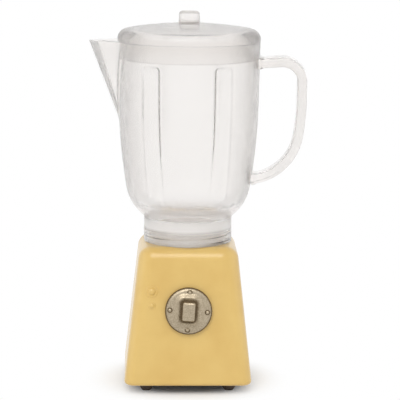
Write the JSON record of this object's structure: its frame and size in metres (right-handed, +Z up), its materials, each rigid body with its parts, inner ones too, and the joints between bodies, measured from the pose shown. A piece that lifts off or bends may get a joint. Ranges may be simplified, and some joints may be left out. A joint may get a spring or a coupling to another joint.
{
  "type": "toy blender",
  "caption": "Doll's-house blender: tapered enamelled base with a turning dial, clear spouted jug with a strap handle that lifts off, and a lift-off lid with a knob.",
  "frame": {"origin": "on the table under the jug's axis, midway between the four feet", "axes": "+Z up along the jug's axis, -Y out of the front with the dial, +X towards the jug's handle"},
  "size_m": [0.0463, 0.0302, 0.08],
  "materials": {
    "enamel": "satin yellow enamel on a die casting",
    "plate": "moulded, fine grain",
    "foot": "moulded",
    "pewter": "antique pewter casting",
    "steel": "bright zinc",
    "clear": "clear polished moulding",
    "milky": "natural milky moulding"
  },
  "bodies": {
    "base": {"base_housing": "enamel", "base_plate": "plate", "plate_screws": "steel", "foot_front_left": "foot", "foot_front_right": "foot", "foot_rear_right": "foot", "foot_rear_left": "foot", "jug_spigot": "milky", "spigot_screws": "steel"},
    "dial": {"dial": "pewter", "dial_washer": "steel", "dial_retainer": "steel"},
    "jug": {"jug": "clear", "jug_handle": "clear"},
    "lid": {"lid": "clear"}
  },
  "joints": [
    {"name": "dial_turn", "type": "hinge", "parent": "base", "child": "dial", "pos_m": [0, -0.01178, 0.0179], "axis": [0, -0.994, 0.1097], "continuous": true},
    {"name": "jug_lift", "type": "slide", "parent": "base", "child": "jug", "axis": [0, 0, 1], "range_m": [0, 0.03]},
    {"name": "lid_lift", "type": "slide", "parent": "jug", "child": "lid", "axis": [0, 0, 1], "range_m": [0, 0.02]}
  ]
}
